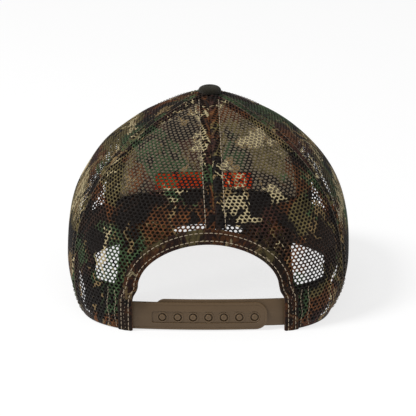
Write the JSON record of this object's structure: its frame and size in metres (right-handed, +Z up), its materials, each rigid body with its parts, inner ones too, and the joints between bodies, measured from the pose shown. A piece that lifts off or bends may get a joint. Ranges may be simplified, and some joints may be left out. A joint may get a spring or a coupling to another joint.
{
  "type": "trucker mesh cap",
  "caption": "Baseball-style mesh cap with a curved visor, a covered top button, and a rear arch opening closed by a two-part snap strap.",
  "frame": {"origin": "on the crown's upright axis, at the level of the rear rim, which is the surface that the cap stands on", "axes": "+Z up through the button, +Y towards the rear opening and its strap, -Y towards the visor, +X towards the wearer's left"},
  "size_m": [0.181, 0.2622, 0.1313],
  "materials": {
    "mesh": "open hexagonal mesh printed with a woodland pattern",
    "printed_cloth": "twill printed with the same pattern",
    "lining": "plain stiffened cloth",
    "tape": "woven tape",
    "binding": "folded printed tape",
    "sweatband": "dark cotton twill",
    "label": "blank red-orange woven patch",
    "button": "satin covered button",
    "rivet": "brushed",
    "board": "moulded board",
    "strap": "satin moulded strap"
  },
  "bodies": {
    "crown": {"front_panel": "printed_cloth", "back_mesh_left": "mesh", "back_mesh_right": "mesh", "side_mesh_left": "mesh", "side_mesh_right": "mesh", "front_panel_backing": "lining", "back_seam_tape": "tape", "rear_left_seam_tape": "tape", "rear_right_seam_tape": "tape", "front_left_seam_tape": "tape", "front_right_seam_tape": "tape", "crown_disc": "tape", "button_cap": "button", "button_rivet": "rivet", "arch_binding": "binding", "sweatband": "sweatband", "front_inner_label": "label", "visor_board": "board", "visor_edge_cord": "tape", "visor_top_cover": "printed_cloth", "visor_under_cover": "printed_cloth", "left_strap_anchor": "strap", "right_strap_anchor": "strap"},
    "left_strap": {"snap_strap_holes": "strap"},
    "right_strap": {"snap_strap_pegs": "strap"}
  },
  "joints": [
    {"name": "left_strap_flex", "type": "hinge", "parent": "crown", "child": "left_strap", "pos_m": [0.0463, 0.09055, 0.0091], "axis": [0, 0, -1], "range_deg": [0, 70]},
    {"name": "right_strap_flex", "type": "hinge", "parent": "crown", "child": "right_strap", "pos_m": [-0.0463, 0.0873, 0.0106], "axis": [0, 0, -1], "range_deg": [0, 30]}
  ]
}
